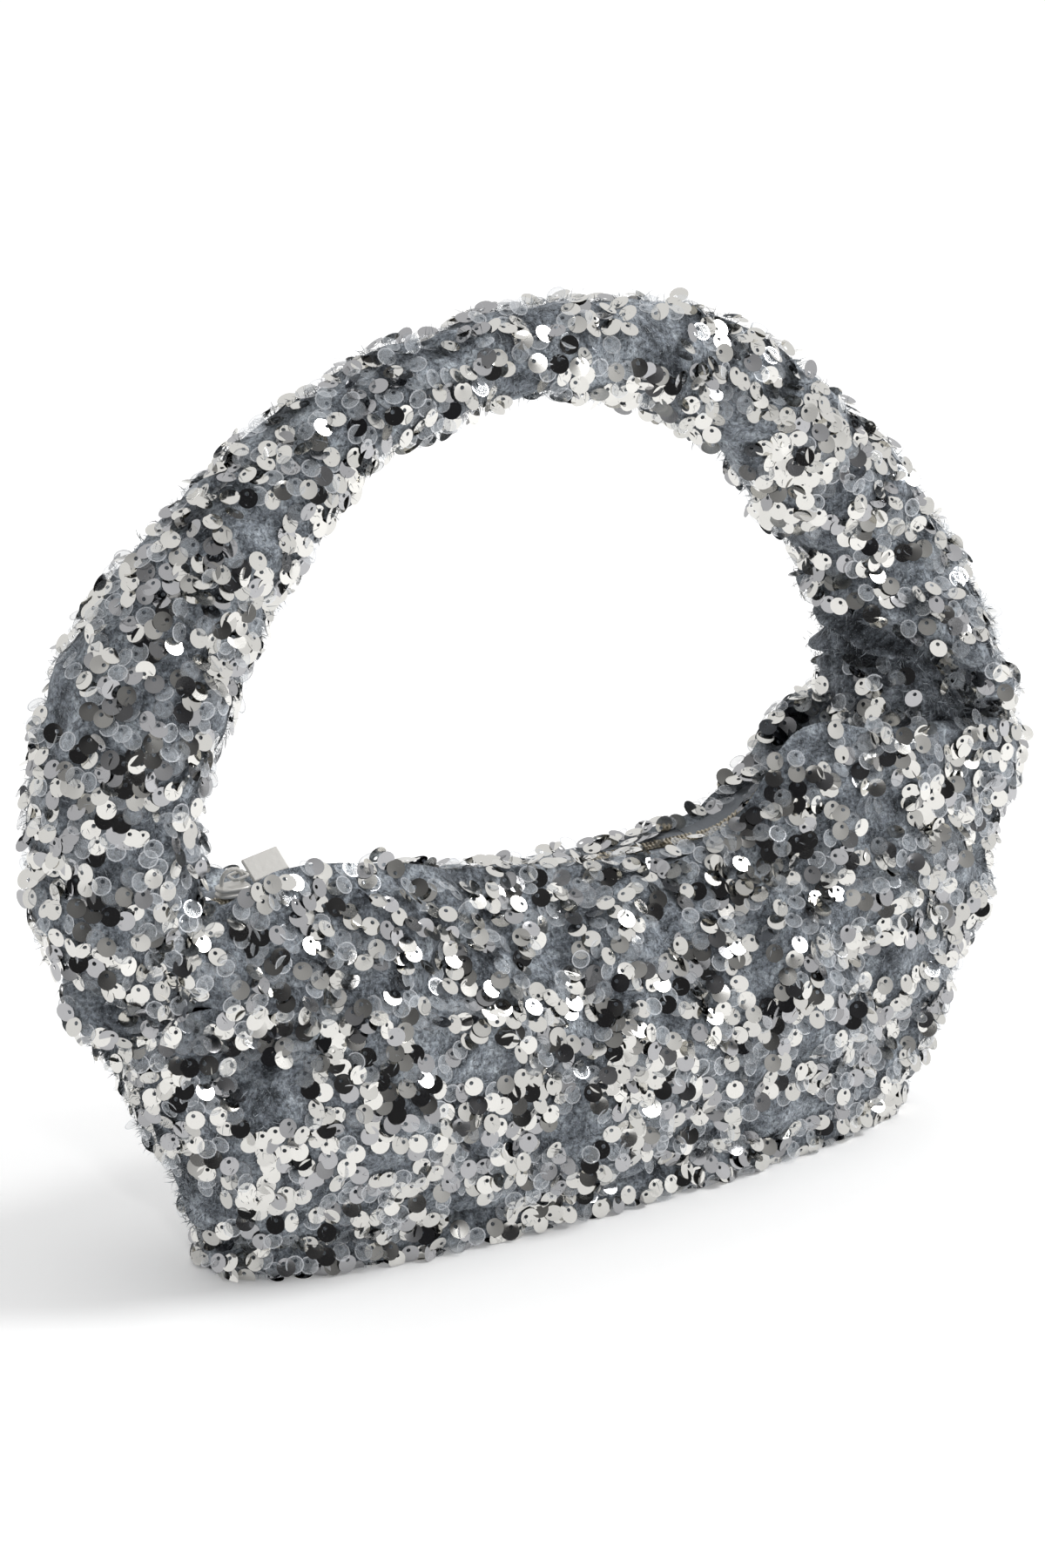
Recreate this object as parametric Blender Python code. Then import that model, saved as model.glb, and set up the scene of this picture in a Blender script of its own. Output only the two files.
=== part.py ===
"""Sequinned velvet evening bag: boat-shaped body, padded ring handle, zipped mouth.

Every separate piece is one named closed solid. The bag stands on Z = 0 with its front
towards -Y and its length along X. Dimensions below are in millimetres; the meshes are
written in metres.
"""
import math

import bmesh
import bpy
import numpy as np
from mathutils import Vector

MM = 0.001
GAP = 0.3                    # clearance kept between neighbouring pieces
LOOSE_GAP = 0.9              # and round the lining and the core, which lie loose

# ---- body shell ---------------------------------------------------------------------
BASE_HALF_LENGTH = 109.0
BASE_HALF_DEPTH = 27.0
SHOULDER_HALF_LENGTH = 147.0
SHOULDER_HEIGHT = 84.0       # height at which the ends stop widening
WIDENING_POWER = 0.92        # the ends widen a little faster low down
BULGE_HALF_DEPTH = 31.0      # fattest part of the front and back
BULGE_LEVEL = 0.36           # share of the wall height where it is fattest
CLOSING_POWER = 1.8          # how late the wall closes in above that
HEM_HALF_DEPTH = 13.5
BASE_SQUARENESS = 2.4        # superellipse exponent of the outline at the base
HEM_SQUARENESS = 4.0         # and along the hem
BASE_SEAM = 10.0             # height of the seam round the boxed base
HEM_HEIGHT = 101.5           # of the mouth's two ends
HEM_SAG = 11.0               # the middle of the mouth hangs this much lower
SAG_HALF_LENGTH = 58.0       # half length of the low, straight part
SAG_REACH = 88.0             # distance from the middle where the hem is high again
MOUTH_HALF_LENGTH = 98.0     # half length of the mouth, and of the front at its hem

PANEL_THICK = 2.0
PADDING_THICK = 2.5
LINING_THICK = 0.8
PADDING_TOP = 80.0
LINING_TOP = 84.0
LINING_END_TOP = 74.0        # lower at the ends, under the handle's feet
LINING_STEP = 92.0           # distance from the mouth's middle where it drops
SEAM_TURN = 0.004            # radians left free along each upright seam
LINING_TURN = 0.01           # radians that each lining stops short of the other

# ---- base ---------------------------------------------------------------------------
BOARD_THICK = 1.8
BASE_EDGE_ROUND = 1.5

# ---- handle -------------------------------------------------------------------------
PIVOT_HEIGHT = 100.0         # hinge axis of the handle, parallel to X
LEAN_X = -13.0               # mouth and handle sit this far towards the left end
ARCH_RADIUS = 126.0          # centre line: half circle round the hinge axis
HANDLE_END_RADIUS = 22.0     # also the radius of the rounded feet on the hinge axis
HANDLE_TOP_RADIUS = 12.0
HANDLE_TAPER = 2.6           # how long the handle stays thin over its top
COVER_THICK = 2.0
SWING_LIMIT = math.radians(60)

# ---- zip ----------------------------------------------------------------------------
ZIP_SINK = 2.5               # the zip lies this far under the hem
ZIP_HALF_LENGTH = 96.0
FLAP_HALF_LENGTH = 55.0      # half length of the straight part that opens
TAPE_OUTER = 9.4             # half width of the closed pair of tapes
TAPE_INNER = 0.5
TAPE_THICK = 0.6
COIL_INNER = 0.15
COIL_OUTER = 1.9
COIL_HEIGHT = 1.3

SLIDER_AT = -86.5            # X of the parked slider from the middle of the zip
SLIDER_LENGTH = 9.0
SLIDER_WIDTH = 7.0
SLIDER_THICK = 2.6
SLIDER_EDGE = 0.9
BRIDGE_WIRE = 1.1
BRIDGE_LENGTH = 6.0
BRIDGE_HEIGHT = 3.4
BRIDGE_LEG = 0.9             # straight part of the bridge under its bow
PIN_LIFT = 1.55              # the pull turns this far above the slider's top
LINK_WIRE = 0.9
LINK_HALF_GAP = 1.6          # the link's two arms pass either side of the bridge
LINK_CORNER = 0.4
LINK_LENGTH = 3.8
TAB_WIDTH = 7.0
TAB_LENGTH = 10.5
TAB_THICK = 1.1
TAB_EDGE = 0.4
PULL_LEAN = math.radians(80)   # the pull leans towards +X from upright
TAB_TWIST = math.radians(40)   # and the tab is turned on its link


# ---- small helpers ------------------------------------------------------------------
def clear_scene():
    for item in list(bpy.data.objects):
        bpy.data.objects.remove(item, do_unlink=True)


def material(name, colour, roughness, metallic=0.0, sheen=0.0):
    made = bpy.data.materials.new(name)
    made.use_nodes = True
    shader = made.node_tree.nodes["Principled BSDF"]
    shader.inputs["Base Color"].default_value = (*colour, 1.0)
    shader.inputs["Roughness"].default_value = roughness
    shader.inputs["Metallic"].default_value = metallic
    shader.inputs["Sheen Weight"].default_value = sheen
    return made


def empty(name, at_mm, parent=None):
    made = bpy.data.objects.new(name, None)
    made.location = Vector(at_mm) * MM
    if parent is not None:
        made.parent = parent
        made.location = (Vector(at_mm) - Vector(world_mm(parent))) * MM
    bpy.context.collection.objects.link(made)
    return made


def world_mm(item):
    total = Vector(item.location)
    while item.parent is not None:
        item = item.parent
        total += item.location
    return total / MM


def solid(name, points, faces, mat, origin=(0, 0, 0), parent=None, smooth=True):
    """One closed mesh object. Points are world millimetres, origin is its own origin."""
    mesh = bpy.data.meshes.new(name)
    shifted = [tuple((np.asarray(p, float) - np.asarray(origin, float)) * MM) for p in points]
    mesh.from_pydata(shifted, [], [tuple(int(i) for i in face) for face in faces])
    mesh.materials.append(mat)
    work = bmesh.new()
    work.from_mesh(mesh)
    bmesh.ops.triangulate(work, faces=work.faces)
    bmesh.ops.recalc_face_normals(work, faces=work.faces)
    work.to_mesh(mesh)
    work.free()
    for face in mesh.polygons:
        face.use_smooth = smooth
    made = bpy.data.objects.new(name, mesh)
    made.location = Vector(origin) * MM
    if parent is not None:
        made.parent = parent
        made.location = (Vector(origin) - Vector(world_mm(parent))) * MM
    bpy.context.collection.objects.link(made)
    return made


def slab_from_grids(outer, inner):
    """Closed solid between two equal grids of points, open at no side."""
    rows, cols = outer.shape[:2]
    points = np.concatenate([outer.reshape(-1, 3), inner.reshape(-1, 3)])
    half = rows * cols

    def at(layer, row, col):
        return layer * half + row * cols + col

    faces = []
    for row in range(rows - 1):
        for col in range(cols - 1):
            faces.append((at(0, row, col), at(0, row, col + 1),
                          at(0, row + 1, col + 1), at(0, row + 1, col)))
            faces.append((at(1, row, col), at(1, row + 1, col),
                          at(1, row + 1, col + 1), at(1, row, col + 1)))
    rim = ([(0, c) for c in range(cols)] + [(r, cols - 1) for r in range(1, rows)]
           + [(rows - 1, c) for c in range(cols - 2, -1, -1)]
           + [(r, 0) for r in range(rows - 2, 0, -1)])
    for here, there in zip(rim, rim[1:] + rim[:1]):
        faces.append((at(0, *here), at(1, *here), at(1, *there), at(0, *there)))
    return points, faces


def stack_of_rings(rings, cap_start=True, cap_end=True):
    """Closed solid through a list of equal rings, each end closed by one centre point."""
    count = len(rings[0])
    points = [p for ring in rings for p in ring]
    faces = []
    for level in range(len(rings) - 1):
        for i in range(count):
            j = (i + 1) % count
            faces.append((level * count + i, level * count + j,
                          (level + 1) * count + j, (level + 1) * count + i))
    for wanted, level in ((cap_start, 0), (cap_end, len(rings) - 1)):
        if wanted:
            points.append(np.mean(np.asarray(rings[level], float), axis=0))
            centre = len(points) - 1
            for i in range(count):
                faces.append((level * count + i, level * count + (i + 1) % count, centre))
    return points, faces


def box_with_round_edges(name, centre, size, edge, mat, origin, parent, turn=None):
    """Rounded block; turn is a 3x3 rotation about its centre."""
    mesh_work = bmesh.new()
    bmesh.ops.create_cube(mesh_work, size=1.0)
    bmesh.ops.scale(mesh_work, vec=Vector(size), verts=mesh_work.verts)
    bmesh.ops.bevel(mesh_work, geom=list(mesh_work.edges), offset=edge, segments=2,
                    affect='EDGES', profile=0.5)
    mesh_work.verts.index_update()
    spin = np.eye(3) if turn is None else turn
    points = [spin @ np.array(v.co) + np.asarray(centre, float) for v in mesh_work.verts]
    faces = [[v.index for v in face.verts] for face in mesh_work.faces]
    mesh_work.free()
    return solid(name, points, faces, mat, origin, parent, smooth=False)


def wire_loop(name, path, radius, sides, mat, origin, parent, closed=True):
    """Round wire along a path of points; a closed path makes a ring."""
    path = np.asarray(path, float)
    count = len(path)
    if closed:
        along = np.roll(path, -1, axis=0) - np.roll(path, 1, axis=0)
    else:
        along = np.gradient(path, axis=0)
    along /= np.linalg.norm(along, axis=1)[:, None]
    flat_normal = np.cross(path[1] - path[0], path[2] - path[0])
    for i in range(2, count - 1):
        if np.linalg.norm(flat_normal) > 1e-6:
            break
        flat_normal = np.cross(path[i] - path[0], path[i + 1] - path[0])
    flat_normal /= np.linalg.norm(flat_normal)
    rings = []
    for i in range(count):
        side = np.cross(along[i], flat_normal)
        side /= np.linalg.norm(side)
        rings.append([path[i] + radius * (math.cos(a) * side + math.sin(a) * flat_normal)
                      for a in np.linspace(0, 2 * math.pi, sides, endpoint=False)])
    if closed:
        points, faces = stack_of_rings(rings + [rings[0]], False, False)
        last = count * sides
        points = points[:last]
        faces = [tuple(i - last if i >= last else i for i in face) for face in faces]
    else:
        points, faces = stack_of_rings(rings)
    return solid(name, points, faces, mat, origin, parent)


# ---- the body surface ---------------------------------------------------------------
def smooth_step(value):
    value = min(max(value, 0.0), 1.0)
    return value * value * (3 - 2 * value)


def outline(turn, squareness):
    """Point of the unit superellipse at an angle."""
    c, s = math.cos(turn), math.sin(turn)
    reach = (abs(c) ** squareness + abs(s) ** squareness) ** (-1 / squareness)
    return reach * c, reach * s


def half_depth(level):
    """Front to back half depth of the wall: bulges low down, closes towards the hem."""
    if level < BULGE_LEVEL:
        share = smooth_step(level / BULGE_LEVEL)
        return BASE_HALF_DEPTH + (BULGE_HALF_DEPTH - BASE_HALF_DEPTH) * share
    share = (level - BULGE_LEVEL) / (1 - BULGE_LEVEL)
    return BULGE_HALF_DEPTH + (HEM_HALF_DEPTH - BULGE_HALF_DEPTH) * share ** CLOSING_POWER


def hem_above(x):
    """Height of the hem at an X: low in the middle of the mouth, high at its ends."""
    away = abs(x - LEAN_X)
    return HEM_HEIGHT - HEM_SAG * smooth_step((SAG_REACH - away) / (SAG_REACH - SAG_HALF_LENGTH))


def hem_height(turn):
    return hem_above(SHOULDER_HALF_LENGTH * outline(turn, HEM_SQUARENESS)[0])


def turn_at_hem(x):
    """Angle from 0 to pi at which the hem of the back reaches a given X."""
    low, high = 0.0, math.pi
    for _ in range(40):
        middle = (low + high) / 2
        if SHOULDER_HALF_LENGTH * outline(middle, HEM_SQUARENESS)[0] > x:
            low = middle
        else:
            high = middle
    return low


def shell_point(turn, level):
    """Outer surface of the body; level 0 is the base seam, level 1 the hem."""
    height = BASE_SEAM + GAP + level * (hem_height(turn) - BASE_SEAM - GAP)
    share = min(max((height - BASE_SEAM) / (SHOULDER_HEIGHT - BASE_SEAM), 0.0), 1.0)
    length = BASE_HALF_LENGTH + (SHOULDER_HALF_LENGTH - BASE_HALF_LENGTH) * share ** WIDENING_POWER
    squareness = BASE_SQUARENESS + (HEM_SQUARENESS - BASE_SQUARENESS) * max(level, 0) ** 2
    x, y = outline(turn, squareness)
    return np.array([length * x, half_depth(level) * y, height])


def shell_inside(turn, level, depth):
    """Point a given depth inside the outer surface, kept at the same height."""
    step = 1e-3
    around = shell_point(turn + step, level) - shell_point(turn - step, level)
    upward = shell_point(turn, level + step) - shell_point(turn, level - step)
    normal = np.cross(around, upward)
    normal /= np.linalg.norm(normal)
    point = shell_point(turn, level)
    level_normal = np.array([normal[0], normal[1], 0.0])
    level_normal /= np.linalg.norm(level_normal)
    slant = max(float(np.dot(level_normal, normal)), 0.5)
    return point - level_normal * depth / slant


def level_at(turn, height):
    return (height - BASE_SEAM - GAP) / (hem_height(turn) - BASE_SEAM - GAP)


def wall(name, turn_from, turn_to, columns, rows, near, far, top_height, mat,
         bottom_height=BASE_SEAM + GAP):
    """Piece of the body wall between two depths; top_height(turn, depth) ends it."""
    grids = []
    for depth in (near, far):
        grid = np.zeros((rows + 1, columns + 1, 3))
        for col in range(columns + 1):
            turn = turn_from + (turn_to - turn_from) * col / columns
            low = level_at(turn, bottom_height)
            high = level_at(turn, top_height(turn, depth))
            for row in range(rows + 1):
                level = low + (high - low) * row / rows
                grid[row, col] = shell_inside(turn, level, depth)
        grids.append(grid)
    points, faces = slab_from_grids(*grids)
    return solid(name, points, faces, mat)


def seat_height(turn, depth):
    """Top of an end gusset: a round seat under the handle foot, flat beside it."""
    seat_radius = HANDLE_END_RADIUS + GAP
    lip = PIVOT_HEIGHT - seat_radius * math.sin(SWING_LIMIT)
    height = lip
    for _ in range(6):
        y = shell_inside(turn, level_at(turn, height), depth)[1]
        if abs(y) < seat_radius * math.cos(SWING_LIMIT):
            height = PIVOT_HEIGHT - math.sqrt(seat_radius ** 2 - y * y)
        else:
            height = lip
    return height


def base_ring(height, inset, count=48):
    """Outline of the boxed base at one height."""
    ring = []
    for i in range(count):
        turn = 2 * math.pi * i / count
        x, y = outline(turn, BASE_SQUARENESS)
        ring.append(((BASE_HALF_LENGTH - inset) * x, (BASE_HALF_DEPTH - inset) * y, height))
    return ring


def zip_strip(name, y_span, x_span, low, high, steps, mat):
    """Strip that follows the sagging hem, between two heights over the zip."""
    grids = []
    for lift in (high, low):
        grid = np.zeros((steps + 1, 2, 3))
        for row in range(steps + 1):
            x = x_span[0] + (x_span[1] - x_span[0]) * row / steps
            for col, y in enumerate(y_span):
                grid[row, col] = (x, y, hem_above(x) - ZIP_SINK + lift)
        grids.append(grid)
    points, faces = slab_from_grids(*grids)
    return solid(name, points, faces, mat, smooth=False)


def block(name, x_span, y_span, z_span, mat, origin=(0, 0, 0), parent=None):
    """Plain block between two limits on each axis."""
    points = [(x, y, z) for x in x_span for y in y_span for z in z_span]
    faces = [(0, 1, 3, 2), (4, 6, 7, 5), (0, 4, 5, 1), (2, 3, 7, 6), (0, 2, 6, 4), (1, 5, 7, 3)]
    return solid(name, points, faces, mat, origin, parent, smooth=False)


# ---- handle -------------------------------------------------------------------------
def handle_radius(turn):
    share = 1 - math.sin(turn) ** HANDLE_TAPER if 0 < turn < math.pi else 1.0
    return HANDLE_TOP_RADIUS + (HANDLE_END_RADIUS - HANDLE_TOP_RADIUS) * share


def handle_ring(turn, inset, sides):
    """Ring round the handle's centre line; turn 0 is the right foot, pi the left."""
    centre = np.array([LEAN_X + ARCH_RADIUS * math.cos(turn), 0.0,
                       PIVOT_HEIGHT + ARCH_RADIUS * math.sin(turn)])
    outward = np.array([math.cos(turn), 0.0, math.sin(turn)])
    radius = handle_radius(turn) - inset
    return [centre + radius * (math.cos(a) * outward + math.sin(a) * np.array([0, 1.0, 0]))
            for a in np.linspace(0, 2 * math.pi, sides, endpoint=False)]


def foot_ring(side, inset, sides, share=1.0):
    """Rounded foot of the handle: part of a cylinder about the hinge axis."""
    radius = (HANDLE_END_RADIUS - inset) * share
    ring = []
    for a in np.linspace(0, 2 * math.pi, sides, endpoint=False):
        y = radius * math.sin(a)
        x = LEAN_X + side * (ARCH_RADIUS + radius * math.cos(a))
        drop = math.sqrt(max(HANDLE_END_RADIUS ** 2 - y * y, 0.0))
        ring.append(np.array([x, y, PIVOT_HEIGHT - drop]))
    return ring


def handle_rings(inset, sides, steps):
    """All rings from the right foot over the arch to the left foot."""
    turns = np.linspace(0, math.pi, steps + 1)
    rings = [foot_ring(1, inset, sides)]
    rings += [handle_ring(turn, inset, sides) for turn in turns[1:-1]]
    rings += [foot_ring(-1, inset, sides)]
    return rings


def handle_cover(parent, origin, mat, sides=20, steps=30):
    outer = handle_rings(0.0, sides, steps)
    inner = handle_rings(COVER_THICK, sides, steps)
    points, faces = stack_of_rings(outer, False, False)
    inner_points, inner_faces = stack_of_rings(inner, False, False)
    shift = len(points)
    faces += [tuple(i + shift for i in face) for face in inner_faces]
    points = points + inner_points
    for first in (0, (len(outer) - 1) * sides):
        for i in range(sides):
            j = (i + 1) % sides
            faces.append((first + i, first + j, shift + first + j, shift + first + i))
    return solid("handle_cover", points, faces, mat, origin, parent)


def handle_core(parent, origin, mat, sides=14, steps=26):
    inset = COVER_THICK + LOOSE_GAP
    rings = [foot_ring(1, inset, sides, share) for share in (0.35, 0.7)]
    rings += handle_rings(inset, sides, steps)
    rings += [foot_ring(-1, inset, sides, share) for share in (0.7, 0.35)]
    points, faces = stack_of_rings(rings)
    centres = ((-2, 1), (-1, -1))
    for index, side in centres:
        points[index] = np.array([LEAN_X + side * ARCH_RADIUS, 0.0,
                                  PIVOT_HEIGHT - HANDLE_END_RADIUS])
    return solid("handle_core", points, faces, mat, origin, parent)


# ---- build --------------------------------------------------------------------------
def build_body(velvet, foam, cloth, board):
    right = turn_at_hem(LEAN_X + MOUTH_HALF_LENGTH)
    left = turn_at_hem(LEAN_X - MOUTH_HALF_LENGTH)
    full = 2 * math.pi

    def hem(turn, depth):
        return hem_height(turn)

    def padding_top(turn, depth):
        return PADDING_TOP

    def lining_top(turn, depth):
        x = SHOULDER_HALF_LENGTH * outline(turn, HEM_SQUARENESS)[0]
        return LINING_TOP if abs(x - LEAN_X) < LINING_STEP else LINING_END_TOP

    wall("front_panel", full - left, full - right, 22, 9, 0.0, PANEL_THICK, hem, velvet)
    wall("back_panel", right, left, 22, 9, 0.0, PANEL_THICK, hem, velvet)
    wall("right_gusset", -right + SEAM_TURN, right - SEAM_TURN, 16, 7,
         0.0, PANEL_THICK, seat_height, velvet)
    wall("left_gusset", left + SEAM_TURN, full - left - SEAM_TURN, 14, 7,
         0.0, PANEL_THICK, seat_height, velvet)

    near = PANEL_THICK + GAP
    wall("front_padding", full - left, full - right, 18, 6,
         near, near + PADDING_THICK, padding_top, foam)
    wall("back_padding", right, left, 18, 6,
         near, near + PADDING_THICK, padding_top, foam)

    near += PADDING_THICK + LOOSE_GAP
    floor_of_lining = PANEL_THICK + GAP + BOARD_THICK + GAP + LINING_THICK + GAP
    wall("front_lining", math.pi + LINING_TURN, full - LINING_TURN, 26, 6,
         near, near + LINING_THICK, lining_top, cloth, floor_of_lining)
    wall("back_lining", LINING_TURN, math.pi - LINING_TURN, 26, 6,
         near, near + LINING_THICK, lining_top, cloth, floor_of_lining)

    tray = [base_ring(0.0, BASE_EDGE_ROUND), base_ring(BASE_EDGE_ROUND, 0.0),
            base_ring(BASE_SEAM, 0.0), base_ring(BASE_SEAM, PANEL_THICK),
            base_ring(PANEL_THICK, PANEL_THICK)]
    solid("base_panel", *stack_of_rings(tray), velvet, smooth=False)
    low = PANEL_THICK + GAP
    plate = [base_ring(low, PANEL_THICK + GAP), base_ring(low + BOARD_THICK, PANEL_THICK + GAP)]
    solid("base_board", *stack_of_rings(plate), board, smooth=False)
    low += BOARD_THICK + GAP
    inset = near + LINING_THICK
    sheet = [base_ring(low, inset), base_ring(low + LINING_THICK, inset)]
    solid("base_lining", *stack_of_rings(sheet), cloth, smooth=False)


def build_zip(root, tape, coil, cloth):
    """Two tape halves hinged on their hem seams, and a sewn-down piece at each end."""
    flat = HEM_HEIGHT - HEM_SAG - ZIP_SINK
    middle = (LEAN_X - FLAP_HALF_LENGTH, LEAN_X + FLAP_HALF_LENGTH)
    coil_span = (GAP, GAP + COIL_HEIGHT)
    for name, side in (("front", -1), ("back", 1)):
        seam = (LEAN_X, side * TAPE_OUTER, flat - TAPE_THICK / 2)
        flap = empty(name + "_flap_pivot", seam, root)
        block(name + "_zip_tape", middle, (side * TAPE_OUTER, side * TAPE_INNER),
              (flat - TAPE_THICK, flat), tape, seam, flap)
        block(name + "_zip_coil", middle, (side * COIL_OUTER, side * COIL_INNER),
              [flat + lift for lift in coil_span], coil, seam, flap)
    for name, side in (("left", -1), ("right", 1)):
        span = [LEAN_X + side * (FLAP_HALF_LENGTH + GAP), LEAN_X + side * ZIP_HALF_LENGTH]
        zip_strip(name + "_zip_end", (-TAPE_OUTER, TAPE_OUTER), span, -TAPE_THICK, 0.0, 8, cloth)
        zip_strip(name + "_end_coil", (-COIL_OUTER, COIL_OUTER), span, *coil_span, 8, coil)


def turn_about_y(angle):
    c, s = math.cos(angle), math.sin(angle)
    return np.array([[c, 0, s], [0, 1, 0], [-s, 0, c]])


def turn_about_z(angle):
    c, s = math.cos(angle), math.sin(angle)
    return np.array([[c, -s, 0], [s, c, 0], [0, 0, 1]])


def build_slider(root, nickel):
    """Slider parked on the left end of the zip, with the pull hinged on its bridge."""
    foot = np.array([LEAN_X + SLIDER_AT, 0.0, HEM_HEIGHT - ZIP_SINK])
    carriage = empty("slider_pivot", foot, root)

    def place(local):
        return foot + np.asarray(local, float)

    low = GAP + COIL_HEIGHT + 1.5 * GAP
    box_with_round_edges("slider_body", place((0, 0, low + SLIDER_THICK / 2)),
                         (SLIDER_LENGTH, SLIDER_WIDTH, SLIDER_THICK), SLIDER_EDGE,
                         nickel, foot, carriage)
    top = low + SLIDER_THICK + GAP
    rise = BRIDGE_HEIGHT + BRIDGE_WIRE / 2
    arch = [place((-BRIDGE_LENGTH / 2, 0, top))]
    for a in np.linspace(math.pi, 0, 9):
        arch.append(place((BRIDGE_LENGTH / 2 * math.cos(a), 0,
                           top + BRIDGE_LEG + (rise - BRIDGE_LEG) * math.sin(a))))
    arch.append(place((BRIDGE_LENGTH / 2, 0, top)))
    wire_loop("slider_bridge", arch, BRIDGE_WIRE / 2, 8, nickel, foot, carriage,
              closed=False)

    pin = place((0, 0, top + PIN_LIFT))
    pull = empty("pull_pivot", pin, carriage)
    lean = turn_about_y(PULL_LEAN)
    low_end = -LINK_WIRE * 0.2
    wide = LINK_HALF_GAP + LINK_CORNER
    knee = 1.5 * LINK_CORNER
    loop = [(0, -LINK_HALF_GAP, low_end), (0, LINK_HALF_GAP, low_end),
            (0, wide, knee), (0, wide, LINK_LENGTH - knee),
            (0, LINK_HALF_GAP, LINK_LENGTH), (0, -LINK_HALF_GAP, LINK_LENGTH),
            (0, -wide, LINK_LENGTH - knee), (0, -wide, knee)]
    wire_loop("pull_link", [pin + lean @ np.array(p, float) for p in loop],
              LINK_WIRE / 2, 8, nickel, pin, pull)
    base = LINK_LENGTH + LINK_WIRE / 2 + GAP
    spin = lean @ turn_about_z(TAB_TWIST)
    box_with_round_edges("pull_tab", pin + lean @ np.array([0, 0, base + TAB_LENGTH / 2]),
                         (TAB_THICK, TAB_WIDTH, TAB_LENGTH), TAB_EDGE, nickel, pin, pull, spin)


def main():
    clear_scene()
    velvet = material("velvet", (0.16, 0.18, 0.205), 0.85, sheen=0.6)
    handle_velvet = material("handle_velvet", (0.15, 0.17, 0.195), 0.85, sheen=0.6)
    foam = material("foam", (0.82, 0.80, 0.74), 0.95)
    cloth = material("lining_cloth", (0.20, 0.21, 0.23), 0.65)
    board = material("board", (0.42, 0.36, 0.28), 0.9)
    tape = material("zip_tape", (0.30, 0.31, 0.32), 0.8)
    coil = material("zip_coil", (0.46, 0.42, 0.34), 0.35, metallic=0.6)
    nickel = material("satin_nickel", (0.72, 0.70, 0.66), 0.32, metallic=1.0)

    build_body(velvet, foam, cloth, board)
    root = empty("bag_frame", (0, 0, 0))
    build_zip(root, tape, coil, cloth)
    build_slider(root, nickel)
    hinge = (LEAN_X, 0.0, PIVOT_HEIGHT)
    handle = empty("handle_pivot", hinge, root)
    handle_cover(handle, hinge, handle_velvet)
    handle_core(handle, hinge, foam)


main()
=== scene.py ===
import math

import bpy
import numpy as np
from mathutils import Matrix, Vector


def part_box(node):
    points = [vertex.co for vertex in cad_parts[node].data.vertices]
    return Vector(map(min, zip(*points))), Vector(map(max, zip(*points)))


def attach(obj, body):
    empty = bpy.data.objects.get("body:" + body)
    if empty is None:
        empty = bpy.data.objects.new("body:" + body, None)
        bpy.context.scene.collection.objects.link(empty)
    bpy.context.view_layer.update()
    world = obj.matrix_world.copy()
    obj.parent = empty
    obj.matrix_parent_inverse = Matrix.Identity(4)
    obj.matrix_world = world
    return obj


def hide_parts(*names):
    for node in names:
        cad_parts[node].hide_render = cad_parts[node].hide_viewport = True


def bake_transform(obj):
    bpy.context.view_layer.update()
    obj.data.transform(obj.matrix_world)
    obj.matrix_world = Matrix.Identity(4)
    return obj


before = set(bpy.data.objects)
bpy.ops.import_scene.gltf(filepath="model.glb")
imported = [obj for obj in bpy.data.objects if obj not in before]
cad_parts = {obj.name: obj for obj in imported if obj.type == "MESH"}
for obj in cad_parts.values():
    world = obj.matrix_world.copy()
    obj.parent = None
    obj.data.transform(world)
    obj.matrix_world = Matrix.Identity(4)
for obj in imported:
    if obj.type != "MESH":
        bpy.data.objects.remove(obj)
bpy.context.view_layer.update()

MM = 0.001

# ---- shape of the soft bag, in millimetres -----------------
LEAN_X = -13.0                 # middle of the mouth and of the handle
PIVOT_Z = 100.0                # the handle turns about this height
BLEND_START_Z, BLEND_END_Z = 92.0, 138.0
SEAM_Z = 10.0
BASE_LENGTH, BASE_DEPTH = 109.5, 27.0       # half sizes
NOMINAL_LENGTH = 142.0
BULGE_DEPTH, HEM_DEPTH, END_DEPTH = 31.5, 11.0, 23.5
BULGE_LEVEL = 0.36             # share of the height at which the body is deepest
BASE_ROUNDNESS, TOP_ROUNDNESS = 2.4, 3.4     # exponents of the plan: 2 is an ellipse
END_FROM, END_WIDTH = 55.0, 50.0             # where the end pieces' depth takes over
PUFF, PUFF_ABOVE, PUFF_HEIGHT = 2.0, 7.0, 6.0    # overhang of the cloth above the base seam
SEAM_DIP, SEAM_DIP_HEIGHT = 1.0, 2.0         # and the dip of the seam itself
ZIP_Z = 88.0                                 # height of the zip's opening part
FLAP_LEFT, FLAP_RIGHT = -68.0, 42.0

# reach of the right and the left end against height
RIGHT_REACH = ((9, 111), (21, 115), (37, 124), (58, 131), (71, 133.5), (87, 140), (104, 144),
               (125, 142))
LEFT_REACH = ((9, 107.5), (23, 114), (40, 123), (59, 130), (75, 137), (94, 139), (104, 137),
              (125, 136))
# height of the cloth's top edge against X on the front and on the back: the hem of the
# mouth between the collar round the right foot and the left shoulder
TOP_FRONT = ((-144, 90), (-134, 96), (-120, 105), (-108, 111), (-91, 111), (-65, 105),
             (-24, 96), (11, 90), (42, 93), (52, 102), (61, 117), (70, 121), (82, 118),
             (107, 113), (128, 110), (144, 104))
TOP_BACK = ((-144, 90), (-134, 95), (-120, 101), (-108, 103), (-91, 101), (-65, 96),
            (-24, 89), (11, 86.5), (42, 88), (57, 91), (68, 98), (79, 109), (95, 114),
            (115, 113), (132, 109), (144, 104))
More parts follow.
